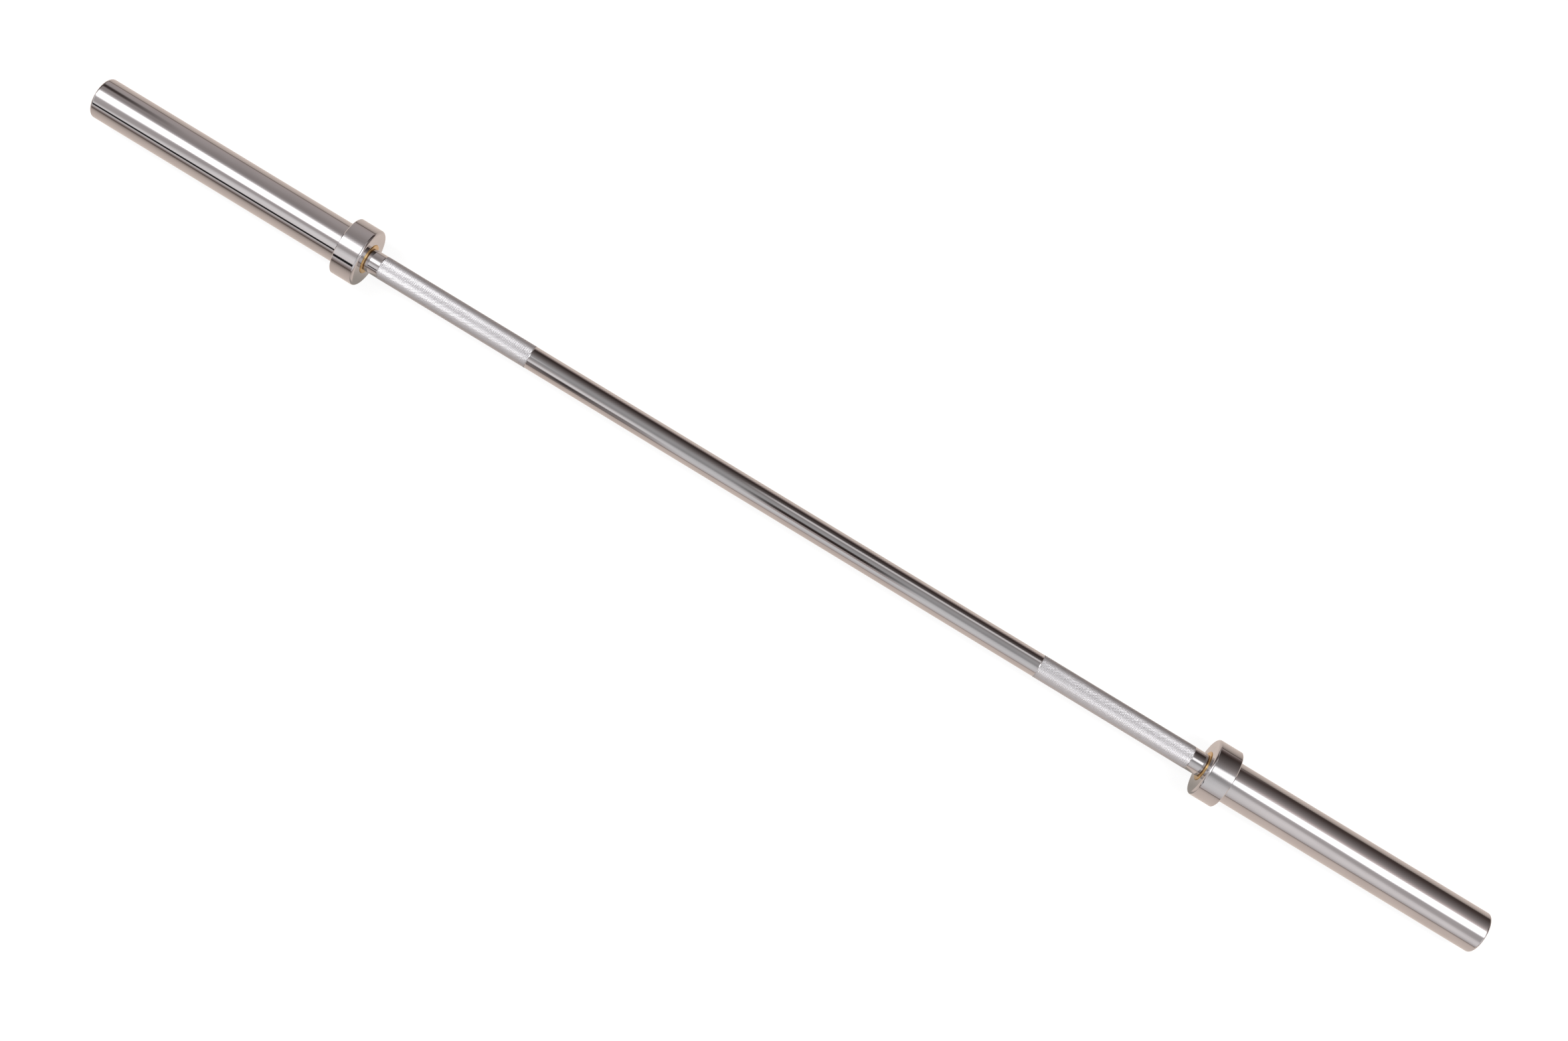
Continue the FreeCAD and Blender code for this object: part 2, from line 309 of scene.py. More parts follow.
world = bpy.data.worlds.new("studio")
bpy.context.scene.world = world
tree = fresh_tree(world)
direction = Wire.node(tree, "ShaderNodeTexCoord", output="Generated")
sideways = direction.part("X")
nearwards = 0 - direction.part("Y")
lean = Wire.maths("ARCTAN2", nearwards, direction.part("Z")) * math.degrees(1)
right_rise = sideways.between(*RIGHT_RISE_SPAN) * RIGHT_RISE
left_rise = sideways.between(*LEFT_RISE_SPAN) * LEFT_RISE
on_wall = lean.between(*WALL_FOOT) * lean.between(*WALL_TOP)
slanted = lean - (right_rise + left_rise) * on_wall
left_edge = lean.between(*LEFT_EDGE_LEANS) * LEFT_EDGE_SHIFT - LEFT_EDGE
leftness = sideways.between(left_edge + LEFT_EDGE_SOFT, left_edge - LEFT_EDGE_SOFT)
rightness = sideways.between(*RIGHT_EDGE)
room = leftness.mix(room_ramp(lean, MIDDLE_ROOM), room_ramp(slanted, LEFT_ROOM))
room = rightness.mix(room, room_ramp(slanted, RIGHT_ROOM))
print("shades in the room:", len(LEFT_ROOM), len(MIDDLE_ROOM), len(RIGHT_ROOM))

# %% [markdown]
# ## What stands in the room
# A few shapes in the room give the mirror its finer stripes: pale and dim walls beyond the ends of the
# bar, the glow beside each lamp, a doorway, a shelf and some battens. Each is a rectangle with its leans,
# its sides, the softness of its edges in degrees, its level and its warmth. On a round bar such a
# rectangle becomes a stripe that stops where the rectangle stops.

# %% Shapes in the room
SHAPES = {
    "left near wall": ((30, 200), (-2.0, -0.52), 5, 0.80, 0.02),
    "right near wall": ((30, 200), (0.52, 2.0), 5, 0.80, 0.02),
    "left far wall": ((-200, -30), (-2.0, -0.52), 5, 0.18, 0.20),
    "right far wall": ((-200, -30), (0.52, 2.0), 5, 0.18, 0.20),
    "left end's glow": ((10, 23), (-2.0, -0.385), 6, 1.75, 0.0),
    "right end's glow": ((10, 20), (0.305, 2.0), 6, 1.60, 0.0),
    "doorway": ((58, 87), (-0.215, -0.107), 3, 0.28, 0.10),
    "door post": ((63, 84), (-0.172, -0.146), 3, 0.03, 0.30),
    "door frame": ((63.5, 73), (-2.0, -0.24), 2, 0.015, 0.0),
    "dark shelf": ((-60, -42), (-2.0, -0.390), 6, 0.05, 0.30),
    "light batten": ((-38, -22), (-0.04, 0.17), 6, 0.84, 0.03),
    "dark batten": ((15, 39), (-0.046, 0.040), 5, 0.035, 0.40),
    "grey panel": ((39, 51), (-0.045, 0.045), 4, 0.40, 0.20),
}
SIDE_SOFT = 0.02


def inside(wire, ends, soft):
    """1 between two ends and 0 outside them, with soft edges."""
    low, high = ends
    return wire.between(low - soft, low + soft) * wire.between(high + soft, high - soft)


for leans, sides, soft, level, warm in SHAPES.values():
    mask = inside(lean, leans, soft) * inside(sideways, sides, SIDE_SOFT)
    room = mask.mix(room, grey(level, warm))
around = Wire.node(tree, "ShaderNodeBackground", inputs={"Color": room})
white = Wire.node(tree, "ShaderNodeBackground", inputs={"Color": grey(1.0)})
seen = Wire.node(tree, "ShaderNodeLightPath", output="Is Camera Ray")
surface = Wire.node(tree, "ShaderNodeMixShader", inputs={0: seen, 1: around, 2: white})
Wire.node(tree, "ShaderNodeOutputWorld", inputs={"Surface": surface})
print("in the room:", ", ".join(SHAPES))

# %% [markdown]
# ## The lamps
# Two oval softboxes hang over the ends of the bar. On a round mirror a lamp becomes a stripe, so their
# shape and height set the white stripes on the sleeves, which narrow towards the collars, and the two
# bright rows of flanks on the knurl. They could be painted on the world too, but only a lamp at a real
# height is seen from one end of the bar and not from the other. A real softbox has a hot middle, where
# the bulb is, and a dim rim. Each is therefore a wide panel with a smaller and much brighter lamp at its
# middle, and nodes dim each of them towards its rim: the panel gives the stripes their soft edges and
# the hot middle gives the knurl its sparkle. The camera doesn't see the lamps.

# %% Softboxes
BOX_HEIGHT = 1.5
BOX_MIDDLES = (-0.105, -0.05)
BOX_LAMPS = {
    "panel": {"ends": (0.50, 2.34), "deep": 1.04, "level": 1.7, "plain": 0.5},
    "hot_middle": {"ends": (0.74, 2.14), "deep": 0.56, "level": 43.0, "plain": 0.0},
}


def soften_rim(lamp, plain):
    """Dims a lamp from the edge of its plain middle out to its rim."""
    tree = fresh_tree(lamp)
    spot = Wire.node(tree, "ShaderNodeNewGeometry", output="Parametric")
    from_middle = distance(spot.part("X") * 2 - 1, spot.part("Y") * 2 - 1)
    glow = Wire.node(tree, "ShaderNodeEmission", inputs={"Strength": from_middle.between(1.0, plain)})
    Wire.node(tree, "ShaderNodeOutputLight", inputs={"Surface": glow})


for side, sign, middle in zip(SIDES, (-1, 1), BOX_MIDDLES):
    for name, size in BOX_LAMPS.items():
        inner, outer = size["ends"]
        bpy.ops.object.select_all(action="DESELECT")
        bpy.ops.object.light_add(type="AREA", location=(sign * (inner + outer) / 2, middle, BOX_HEIGHT))
        lamp = bpy.context.object
        lamp.name = f"{side}_{name}"
        lamp.data.shape = "ELLIPSE"
        lamp.data.size = outer - inner
        lamp.data.size_y = size["deep"]
        area = math.pi / 4 * lamp.data.size * lamp.data.size_y
        lamp.data.energy = size["level"] * math.pi * area
        lamp.visible_camera = False
        soften_rim(lamp.data, size["plain"])
        print(f"{lamp.name}: {lamp.data.energy:.0f} W")

# %% [markdown]
# ## The floor
# The bar lies on cream paper that the picture shows as white. Making it white with more light would burn
# out the chrome. Instead the paper keeps its cream, which the undersides of the bar mirror, and rays from
# the camera see it mostly as plain white, with enough of the lit paper left to hold the bar's shadow. In
# the mirror the paper carries a painted pool of light: brightest beside the bar and falling off with
# distance, sooner where the room beyond it is dim. On the near side, a painted shadow darkens the paper
# that the faces of the collars mirror.

# %% Floor
FLOOR_SIZE = 14
FLOOR_GAP = 0.1 * MM
PAPER = (0.84, 0.725, 0.65, 1.0)
PAPER_OUTSIDE_PAINTED_LIGHT = (0.07, 0.055, 0.045, 1.0)
PAPER_SHADED = (0.42, 0.385, 0.345, 1.0)
PAPER_LIT = grey(0.95)
PAPER_WHITE = grey(1.02)
SHADOW_SHARE = 0.12
MIRROR_SHARE = 0.06
NEAR_REACH = 0.33
NEAR_GAIN = 0.67
NEAR_GAIN_SPAN = (-0.45, 0.05)
FAR_REACH = 0.90
FAR_LOSS_RIGHT = 0.54
FAR_RIGHT_SPAN = (0.42, 0.62)
FAR_LOSS_LEFT = 0.35
FAR_LEFT_SPAN = (-0.35, -0.60)
UNDER_BAR = (-0.05, 0.05)
FADE_POWER = 1.5
COLLAR_SHADE_STARTS = (0.525, 0.545)
COLLAR_SHADE_ENDS = (0.562, 0.554)
COLLAR_SHADE_NEAR = (0.012, -0.022)

bpy.ops.object.select_all(action="DESELECT")
bpy.ops.mesh.primitive_plane_add(size=FLOOR_SIZE, location=(0, 0, cad_low.z - FLOOR_GAP))
floor = bpy.context.object
floor.name = "paper_floor"
paper = bpy.data.materials.new("paper")
tree = fresh_tree(paper)
seen = Wire.node(tree, "ShaderNodeLightPath", output="Is Camera Ray")
mirrored = Wire.node(tree, "ShaderNodeLightPath", output="Is Glossy Ray")
through = Wire.node(tree, "ShaderNodeLightPath", output="Is Transmission Ray")
place = Wire.node(tree, "ShaderNodeTexCoord", output="Object")
along_bar = place.part("X")
away = place.part("Y")

# Painted pool of light: the paper's colour fades from cream beside the bar to dark with distance.
near_reach = NEAR_REACH + along_bar.between(*NEAR_GAIN_SPAN) * NEAR_GAIN
far_reach = FAR_REACH - along_bar.between(*FAR_RIGHT_SPAN) * FAR_LOSS_RIGHT
far_reach = far_reach - along_bar.between(*FAR_LEFT_SPAN) * FAR_LOSS_LEFT
reach = near_reach + (far_reach - near_reach) * away.between(*UNDER_BAR)
reached = Wire.maths("ABSOLUTE", away) / reach
painted_light_falloff = 1 / (1 + Wire.maths("POWER", reached, FADE_POWER))
paper_with_painted_light = painted_light_falloff.mix(PAPER_OUTSIDE_PAINTED_LIGHT, PAPER)

# Painted shadow: the paper beside each collar's face is darkened, and that face mirrors it.
from_middle = Wire.maths("ABSOLUTE", along_bar)
at_collar = from_middle.between(*COLLAR_SHADE_STARTS) * from_middle.between(*COLLAR_SHADE_ENDS)
paper_with_painted_light = (at_collar * away.between(*COLLAR_SHADE_NEAR)).mix(paper_with_painted_light, PAPER_SHADED)

shown = Wire.maths("MINIMUM", seen + mirrored + through, 1.0)
lit = Wire.node(tree, "ShaderNodeBsdfDiffuse", inputs={"Color": seen.mix(paper_with_painted_light, PAPER_LIT)})
plain_sockets = {"Color": seen.mix(paper_with_painted_light, PAPER_WHITE), "Strength": 1.0}
plain = Wire.node(tree, "ShaderNodeEmission", inputs=plain_sockets)
lit_share = Wire.maths("MAXIMUM", seen * SHADOW_SHARE, mirrored * MIRROR_SHARE)
plain_share = shown * (1 - lit_share)
surface = Wire.node(tree, "ShaderNodeMixShader", inputs={0: plain_share, 1: lit, 2: plain})
Wire.node(tree, "ShaderNodeOutputMaterial", inputs={"Surface": surface})
floor.data.materials.append(paper)
print(f"paper at {floor.location.z / MM:.1f} mm")

# %% [markdown]
# ## Tools for turned pieces
# Every piece of the bar is turned on a lathe. A profile could be spun round the axis, but carrying a ring
# along works the way the lathe does: add a circle round the axis, extrude it to the next station, scale
# it to the radius there, and go on until the outline closes. Corners that the lathe leaves rounded are
# picked by place and bevelled.


# %% Turning tools
NEAR = 0.002 * MM
MEETING = 0.001 * MM
ROUND_THE_BAR = (0, math.pi / 2, 0)
TURNED_CREASE = math.radians(32)


def start_ring(name, start, segments):
    """Adds a circle round the bar's axis at (x, radius) in millimetres and opens it for editing."""
    x, radius = start
    bpy.ops.object.select_all(action="DESELECT")
    bpy.ops.mesh.primitive_circle_add(
        vertices=segments, radius=radius * MM, location=(x * MM, 0, 0), rotation=ROUND_THE_BAR
    )
    piece = bpy.context.object
    piece.name = name
    bpy.ops.object.transform_apply()
    bpy.ops.object.mode_set(mode="EDIT")
    bpy.ops.mesh.select_mode(type="EDGE")
    bpy.ops.mesh.select_all(action="SELECT")
    return piece


def carry_ring(stations):
    """Extrudes the picked ring from each (x, radius) station to the next."""
    for (x, radius), (next_x, next_radius) in zip(stations, stations[1:]):
        bpy.ops.mesh.extrude_edges_move(TRANSFORM_OT_translate={"value": ((next_x - x) * MM, 0, 0)})
        share = next_radius / radius
        bpy.ops.transform.resize(value=(1, share, share), center_override=(next_x * MM, 0, 0))


def pick_edges(piece, wanted):
    """Picks, in edit mode, the edges whose two end points pass a test."""
    bpy.ops.mesh.select_mode(type="EDGE")
    bpy.ops.mesh.select_all(action="DESELECT")
    bpy.ops.object.mode_set(mode="OBJECT")
    points = [vertex.co for vertex in piece.data.vertices]
    for edge in piece.data.edges:
        edge.select = wanted(*[points[index] for index in edge.vertices])
    bpy.ops.object.mode_set(mode="EDIT")


def pick_ring(piece, x, radius):
    """Picks the ring of edges at a station, in millimetres."""

    def on_station(point):
        off_radius = abs(math.hypot(point.y, point.z) - radius * MM)
        return max(abs(point.x - x * MM), off_radius) < NEAR

    pick_edges(piece, lambda first, second: on_station(first) and on_station(second))


def close_piece():
    """Joins what meets, turns the faces outwards and leaves edit mode."""
    bpy.ops.mesh.select_all(action="SELECT")
    bpy.ops.mesh.remove_doubles(threshold=MEETING)
    bpy.ops.mesh.normals_make_consistent(inside=False)
    bpy.ops.object.mode_set(mode="OBJECT")


def round_corners(piece, corners):
    """Closes a turned piece and rounds its corners, each a station, a size and a number of steps."""
    close_piece()
    bpy.ops.object.mode_set(mode="EDIT")
    for (x, radius), size, steps in corners:
        pick_ring(piece, x, radius)
        bpy.ops.mesh.bevel(offset=size * MM, segments=steps, affect="EDGES")
    close_piece()


def polish_normals(piece):
    """Smooths the turned faces while flats stay flat and corners crisp."""
    bpy.ops.object.select_all(action="DESELECT")
    bpy.context.view_layer.objects.active = piece
    piece.select_set(True)
    bpy.ops.object.shade_smooth_by_angle(angle=TURNED_CREASE)
    bpy.ops.object.modifier_add(type="WEIGHTED_NORMAL")
    weighted = piece.modifiers[-1]
    weighted.keep_sharp = True
    weighted.weight = 100
    bpy.ops.object.modifier_apply(modifier=weighted.name)


def turned_round(piece, name):
    """Copies a right-hand piece and turns the copy half way round for the left."""
    bpy.ops.object.select_all(action="DESELECT")
    bpy.context.view_layer.objects.active = piece
    piece.select_set(True)
    bpy.ops.object.duplicate()
    copy = bpy.context.object
    copy.name = name
    bpy.ops.transform.rotate(value=math.pi, orient_axis="Z", center_override=(0, 0, 0))
    bpy.ops.object.transform_apply()
    return copy


def place_pair(piece, part):
    """Makes the left piece of a pair, and seats both on the solids that they stand for."""
    pair = [turned_round(piece, f"left_turned_{part}"), piece]
    for side, one in zip(SIDES, pair):
        polish_normals(one)
        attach(one, f"{side}_sleeve_assembly")
        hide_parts(f"{side}_{part}")
        print(f"{one.name}: {len(one.data.polygons)} faces")
    return pair


# %% [markdown]
# ## The shaft
# The shaft is one steel bar: a smooth middle, two knurled grips, a short smooth stretch beside each
# collar, and thinner journals that run inside the sleeves. The knurl is rolled in by two wheels whose
# slanting grooves cross, which leaves small diamonds. A bump map would lose their sparkle, so each
# diamond is modelled. A tube is cut into a fine grid, un-subdividing the grid turns it by 45 degrees into
# diamonds, and insetting every diamond by itself with some height raises its four flanks and leaves a
# small flat on top.

# %% Knurl band
SHAFT_RADIUS = 14.0
KNURL_IN = 337.6
KNURL_OUT = 536.4
KNURL_ROOT = 13.77
KNURL_HEIGHT = 0.37
KNURL_FLANK = 0.62
DIAMONDS_ROUND = 42
DIAMONDS_LONG = 64

bpy.ops.object.select_all(action="DESELECT")
bpy.ops.mesh.primitive_cylinder_add(
    vertices=2 * DIAMONDS_ROUND,
    radius=KNURL_ROOT * MM,
    depth=(KNURL_OUT - KNURL_IN) * MM,
    end_fill_type="NOTHING",
    location=((KNURL_IN + KNURL_OUT) / 2 * MM, 0, 0),
    rotation=ROUND_THE_BAR,
)
shaft = bpy.context.object
shaft.name = "knurled_shaft"
bpy.ops.object.transform_apply()
bpy.ops.object.mode_set(mode="EDIT")
pick_edges(shaft, lambda first, second: abs(first.x - second.x) > NEAR)
bpy.ops.mesh.subdivide_edgering(number_cuts=2 * DIAMONDS_LONG - 1, interpolation="LINEAR")
bpy.ops.mesh.select_all(action="SELECT")
bpy.ops.mesh.unsubdivide(iterations=1)
bpy.ops.mesh.select_mode(type="FACE")
bpy.ops.mesh.select_all(action="SELECT")
bpy.ops.mesh.inset(thickness=KNURL_FLANK * MM, depth=KNURL_HEIGHT * MM, use_individual=True)
bpy.ops.object.mode_set(mode="OBJECT")
print(f"knurl band: {len(shaft.data.polygons)} faces")

# %% [markdown]
# The rest of the shaft grows out of the two ends of that band, so that knurl and bar are one piece. The
# inner end is carried to the middle of the bar and the outer end along the journal, its ring groove and
# its chamfered end. A Mirror modifier then makes the other half.

# %% Shaft
RUN_OUT = 0.6
RUN_OUT_END = 0.8
SHOULDER = 553.7
SHOULDER_CHAMFER = 0.4
JOURNAL = 12.5
GROOVE_IN = 894.25
GROOVE_OUT = 895.65
GROOVE_RADIUS = 11.95
SHAFT_END = 899.55
END_CHAMFER = 1.5
KNURL_CREASE = math.radians(33)

bpy.ops.object.mode_set(mode="EDIT")
pick_ring(shaft, KNURL_IN, KNURL_ROOT)
carry_ring([
    (KNURL_IN, KNURL_ROOT),
    (KNURL_IN - RUN_OUT, SHAFT_RADIUS),
    (KNURL_IN - RUN_OUT_END, SHAFT_RADIUS),
    (0, SHAFT_RADIUS),
])
pick_ring(shaft, KNURL_OUT, KNURL_ROOT)
carry_ring([
    (KNURL_OUT, KNURL_ROOT),
    (KNURL_OUT + RUN_OUT, SHAFT_RADIUS),
    (KNURL_OUT + RUN_OUT_END, SHAFT_RADIUS),
    (SHOULDER - SHOULDER_CHAMFER, SHAFT_RADIUS),
    (SHOULDER, SHAFT_RADIUS - SHOULDER_CHAMFER),
    (SHOULDER, JOURNAL),
    (GROOVE_IN, JOURNAL),
    (GROOVE_IN, GROOVE_RADIUS),
    (GROOVE_OUT, GROOVE_RADIUS),
    (GROOVE_OUT, JOURNAL),
    (SHAFT_END - END_CHAMFER, JOURNAL),
    (SHAFT_END, JOURNAL - END_CHAMFER),
])
bpy.ops.mesh.edge_face_add()
bpy.ops.object.mode_set(mode="OBJECT")
bpy.ops.object.modifier_add(type="MIRROR")
bpy.ops.object.modifier_apply(modifier=shaft.modifiers[-1].name)
bpy.ops.object.mode_set(mode="EDIT")
close_piece()
bpy.ops.object.shade_smooth_by_angle(angle=KNURL_CREASE)
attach(shaft, "shaft")
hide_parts("shaft")
shaft.data.calc_loop_triangles()
print(f"shaft: {len(shaft.data.loop_triangles)} triangles")

# %% [markdown]
# ## The collars
# A collar stops the plates from sliding in along the bar. It is a heavy ring with a soft round on its
# inner edge, a narrow bevel on its outer edge, a recess for the bush's flange, and a countersunk bore
# that takes the spigot of the sleeve.

# %% Collars
LARGE_RING = 192
FIT = 0.02
COLLAR_FACE = 555.0
COLLAR_BACK = 585.0
COLLAR_RADIUS = 35.5
FLANGE_RADIUS = 18.5
FLANGE_BACK = COLLAR_FACE + 2
FLANGE_POCKET = FLANGE_RADIUS + FIT
BUSH_RADIUS = 16.0
BUSH_SEAT = BUSH_RADIUS + FIT
SLEEVE_RADIUS = 25.0
SPIGOT_RADIUS = 23.0
SPIGOT_IN = COLLAR_BACK - 22
SPIGOT_OUT = COLLAR_BACK - 2

collar_outline = [
    (COLLAR_FACE, FLANGE_POCKET),
    (COLLAR_FACE, COLLAR_RADIUS),
    (COLLAR_BACK, COLLAR_RADIUS),
    (COLLAR_BACK, SLEEVE_RADIUS + FIT),
    (SPIGOT_OUT, SPIGOT_RADIUS + FIT),
    (SPIGOT_IN, SPIGOT_RADIUS + FIT),
    (SPIGOT_IN, BUSH_SEAT),
    (FLANGE_BACK, BUSH_SEAT),
    (FLANGE_BACK, FLANGE_POCKET),
    (COLLAR_FACE, FLANGE_POCKET),
]
collar_corners = [
    ((COLLAR_FACE, COLLAR_RADIUS), 3.2, 10),
    ((COLLAR_BACK, COLLAR_RADIUS), 1.0, 1),
    ((COLLAR_FACE, FLANGE_POCKET), 0.25, 3),
]
collar = start_ring("right_turned_collar", collar_outline[0], LARGE_RING)
carry_ring(collar_outline)
round_corners(collar, collar_corners)
collars = place_pair(collar, "collar")

# %% [markdown]
# ## The sleeves
# A sleeve carries the plates and turns on the shaft. Outside it is a plain tube with a rounded end.
# Inside it is stepped: seats for the two bushes, a wider chamber for the washers, and a mouth with a
# groove that holds the snap ring over the end cap.

# %% Sleeves
CHAMFER = 0.6
SLEEVE_END = 915.0
SLEEVE_BORE = 15.0
CAP_BORE = 20.02
CAP_GROOVE = 21.27
CAP_GROOVE_IN = 909.55
CAP_GROOVE_OUT = 911.4
CAP_SEAT = 904.55
STACK_IN = 889.05
STACK_RADIUS = 19.0
OUTER_SEAT_IN = STACK_IN - 30
INNER_SEAT_OUT = COLLAR_FACE + 40

sleeve_outline = [
    (COLLAR_BACK, SLEEVE_RADIUS),
    (SLEEVE_END, SLEEVE_RADIUS),
    (SLEEVE_END, CAP_BORE + CHAMFER),
    (SLEEVE_END - CHAMFER, CAP_BORE),
    (CAP_GROOVE_OUT, CAP_BORE),
    (CAP_GROOVE_OUT, CAP_GROOVE),
    (CAP_GROOVE_IN, CAP_GROOVE),
    (CAP_GROOVE_IN, CAP_BORE),
    (CAP_SEAT, CAP_BORE),
    (CAP_SEAT, STACK_RADIUS),
    (STACK_IN, STACK_RADIUS),
    (STACK_IN, BUSH_SEAT),
    (OUTER_SEAT_IN, BUSH_SEAT),
    (OUTER_SEAT_IN, SLEEVE_BORE),
    (INNER_SEAT_OUT, SLEEVE_BORE),
    (INNER_SEAT_OUT, BUSH_SEAT),
    (SPIGOT_IN, BUSH_SEAT),
    (SPIGOT_IN, SPIGOT_RADIUS - CHAMFER),
    (SPIGOT_IN + CHAMFER, SPIGOT_RADIUS),
    (SPIGOT_OUT, SPIGOT_RADIUS),
    (COLLAR_BACK, SLEEVE_RADIUS),
]
sleeve_corners = [
    ((SLEEVE_END, SLEEVE_RADIUS), 3.0, 10),
    ((SLEEVE_END, CAP_BORE + CHAMFER), 0.2, 2),
]
sleeve = start_ring("right_turned_sleeve", sleeve_outline[0], LARGE_RING)
carry_ring(sleeve_outline)
round_corners(sleeve, sleeve_corners)
sleeves = place_pair(sleeve, "sleeve")

# %% [markdown]
# ## The flanged bushes
# The golden ring beside each collar is the flange of a bronze bush. The bush sits in the sleeve and turns
# with it on the shaft, and the face of its flange runs against the shaft's shoulder. Only the rounded lip
# of the flange stands out of the collar, so that lip gets the largest round.

# %% Flanged bushes
SMALL_RING = 128
FLANGE_FACE = COLLAR_FACE - 1
BUSH_BORE = 12.55

bush_outline = [
    (FLANGE_FACE, BUSH_BORE),
    (FLANGE_FACE, FLANGE_RADIUS),
    (FLANGE_BACK, FLANGE_RADIUS),
    (FLANGE_BACK, BUSH_RADIUS),
    (INNER_SEAT_OUT - CHAMFER, BUSH_RADIUS),
    (INNER_SEAT_OUT, BUSH_RADIUS - CHAMFER),
    (INNER_SEAT_OUT, BUSH_BORE),
    (FLANGE_FACE, BUSH_BORE),
]
bush_corners = [
    ((FLANGE_FACE, FLANGE_RADIUS), 0.8, 8),
    ((FLANGE_FACE, BUSH_BORE), 0.2, 3),
]
bush = start_ring("right_turned_inner_bush", bush_outline[0], SMALL_RING)
carry_ring(bush_outline)
round_corners(bush, bush_corners)
bushes = place_pair(bush, "inner_bush")

# %% [markdown]
# ## The end caps
# A steel disc closes the mouth of each sleeve behind its snap ring. It is turned with a shallow round
# recess. The ring starts and ends almost at the axis, and both of these small circles are merged to
# points, which closes the disc without a seam.

# %% End caps
CAP_FACE = CAP_SEAT + 5
CAP_RADIUS = 20.0
CAP_POINT = 0.5
RECESS_FLOOR = CAP_FACE - 0.6
RECESS_RIM = 13.6
RECESS_RADIUS = 13.0

cap_outline = [
    (CAP_SEAT, CAP_POINT),
    (CAP_SEAT, CAP_RADIUS),
    (CAP_FACE, CAP_RADIUS),
    (CAP_FACE, RECESS_RIM),
    (RECESS_FLOOR, RECESS_RADIUS),
    (RECESS_FLOOR, CAP_POINT),
]
cap_corners = [
    ((CAP_FACE, CAP_RADIUS), 0.5, 4),
    ((CAP_FACE, RECESS_RIM), 0.25, 3),
    ((RECESS_FLOOR, RECESS_RADIUS), 0.25, 3),
]
cap = start_ring("right_turned_end_cap", cap_outline[0], SMALL_RING)
carry_ring(cap_outline)
bpy.ops.mesh.merge(type="CENTER")
pick_ring(cap, CAP_SEAT, CAP_POINT)
bpy.ops.mesh.merge(type="CENTER")
round_corners(cap, cap_corners)
caps = place_pair(cap, "end_cap")

# %% [markdown]
# ## Chrome
# Polished chrome is a dark, nearly neutral mirror: it gives back a little over half of the light. What
# tells it from a perfect mirror is fine: circular polishing lines, and a faint haze where hands and rags
# have been. Both change its roughness a little, and the lines ripple its reflections by a hair.

# %% Chrome
CHROME_PALE = (0.588, 0.570, 0.579, 1.0)
CHROME_DEEP = (0.547, 0.530, 0.539, 1.0)
CHROME_ROUGHNESS = 0.03
LINES = (1600, 40, 40)
LINES_DULL = (0.5, 0.8)
LINES_ROUGHNESS = 0.03
LINES_DEPTH = 0.00004
HAZE = (22, 55, 55)
HAZE_DEEP = (0.35, 0.75)
HAZE_DULL = (0.45, 0.8)
HAZE_ROUGHNESS = 0.04


def dress(tree, sockets):
    """Ends a material with one Principled shader whose sockets are given."""
    surface = Wire.node(tree, "ShaderNodeBsdfPrincipled", inputs=sockets)
    Wire.node(tree, "ShaderNodeOutputMaterial", inputs={"Surface": surface})


def ripple(height, depth):
    """A bump this many millimetres deep."""
    inputs = {"Height": height, "Strength": 1.0, "Distance": depth * MM}
    return Wire.node(height.tree, "ShaderNodeBump", inputs=inputs, output="Normal")


chrome = bpy.data.materials.new("polished_chrome")
tree = fresh_tree(chrome)
place = Wire.node(tree, "ShaderNodeTexCoord", output="Object")
lines = place.noise(LINES, detail=4.0)
haze = place.noise(HAZE, detail=5.0)
roughness = CHROME_ROUGHNESS + lines.between(*LINES_DULL) * LINES_ROUGHNESS
dress(tree, {
    "Base Color": haze.between(*HAZE_DEEP).mix(CHROME_PALE, CHROME_DEEP),
    "Metallic": 1.0,
    "Roughness": roughness + haze.between(*HAZE_DULL) * HAZE_ROUGHNESS,
    "Normal": ripple(lines, LINES_DEPTH),
})
print("chrome:", len(tree.nodes), "nodes")

# %% [markdown]
# ## Chrome on the knurl
# The same plating covers the knurl, but it can't be polished between the diamonds, so the valleys are
# duller. Distance from the axis tells valley from crest, and the valleys also get painted shade: a darker
# colour than the bright crests. From a few steps away the eye no longer sees single diamonds, but it
# still sees that half of the flanks face one way round the bar and half the other: a sheen of two rows.
# Part of the finish is therefore two soft mirrors that lean each way round the bar.

# %% Knurl chrome
# The valleys' darker colour is painted shade; their higher roughness is the real lack of polish.
VALLEY_PAINTED_SHADE = (0.532, 0.524, 0.541, 1.0)
CREST = (0.604, 0.597, 0.618, 1.0)
CREST_START = 0.8
VALLEY_ROUGHNESS = 0.41
CREST_POLISH = 0.04
GRAIN = (2200, 2200, 2200)
GRAIN_ROUGHNESS = 0.04
GRAIN_DEPTH = 0.002
SHEEN_SHARE = 0.35
SHEEN_LEAN = math.tan(math.radians(21))
SHEEN_BASE = (0.613, 0.606, 0.628, 1.0)
SHEEN_ROUGHNESS = 0.45

knurl_chrome = bpy.data.materials.new("knurl_chrome")
tree = fresh_tree(knurl_chrome)
place = Wire.node(tree, "ShaderNodeTexCoord", output="Object")
deep = place.part("Y")
high = place.part("Z")
crest_height = KNURL_ROOT + CREST_START * KNURL_HEIGHT
crest = distance(deep, high).between(KNURL_ROOT * MM, crest_height * MM)
grain = place.noise(GRAIN, detail=2.0)


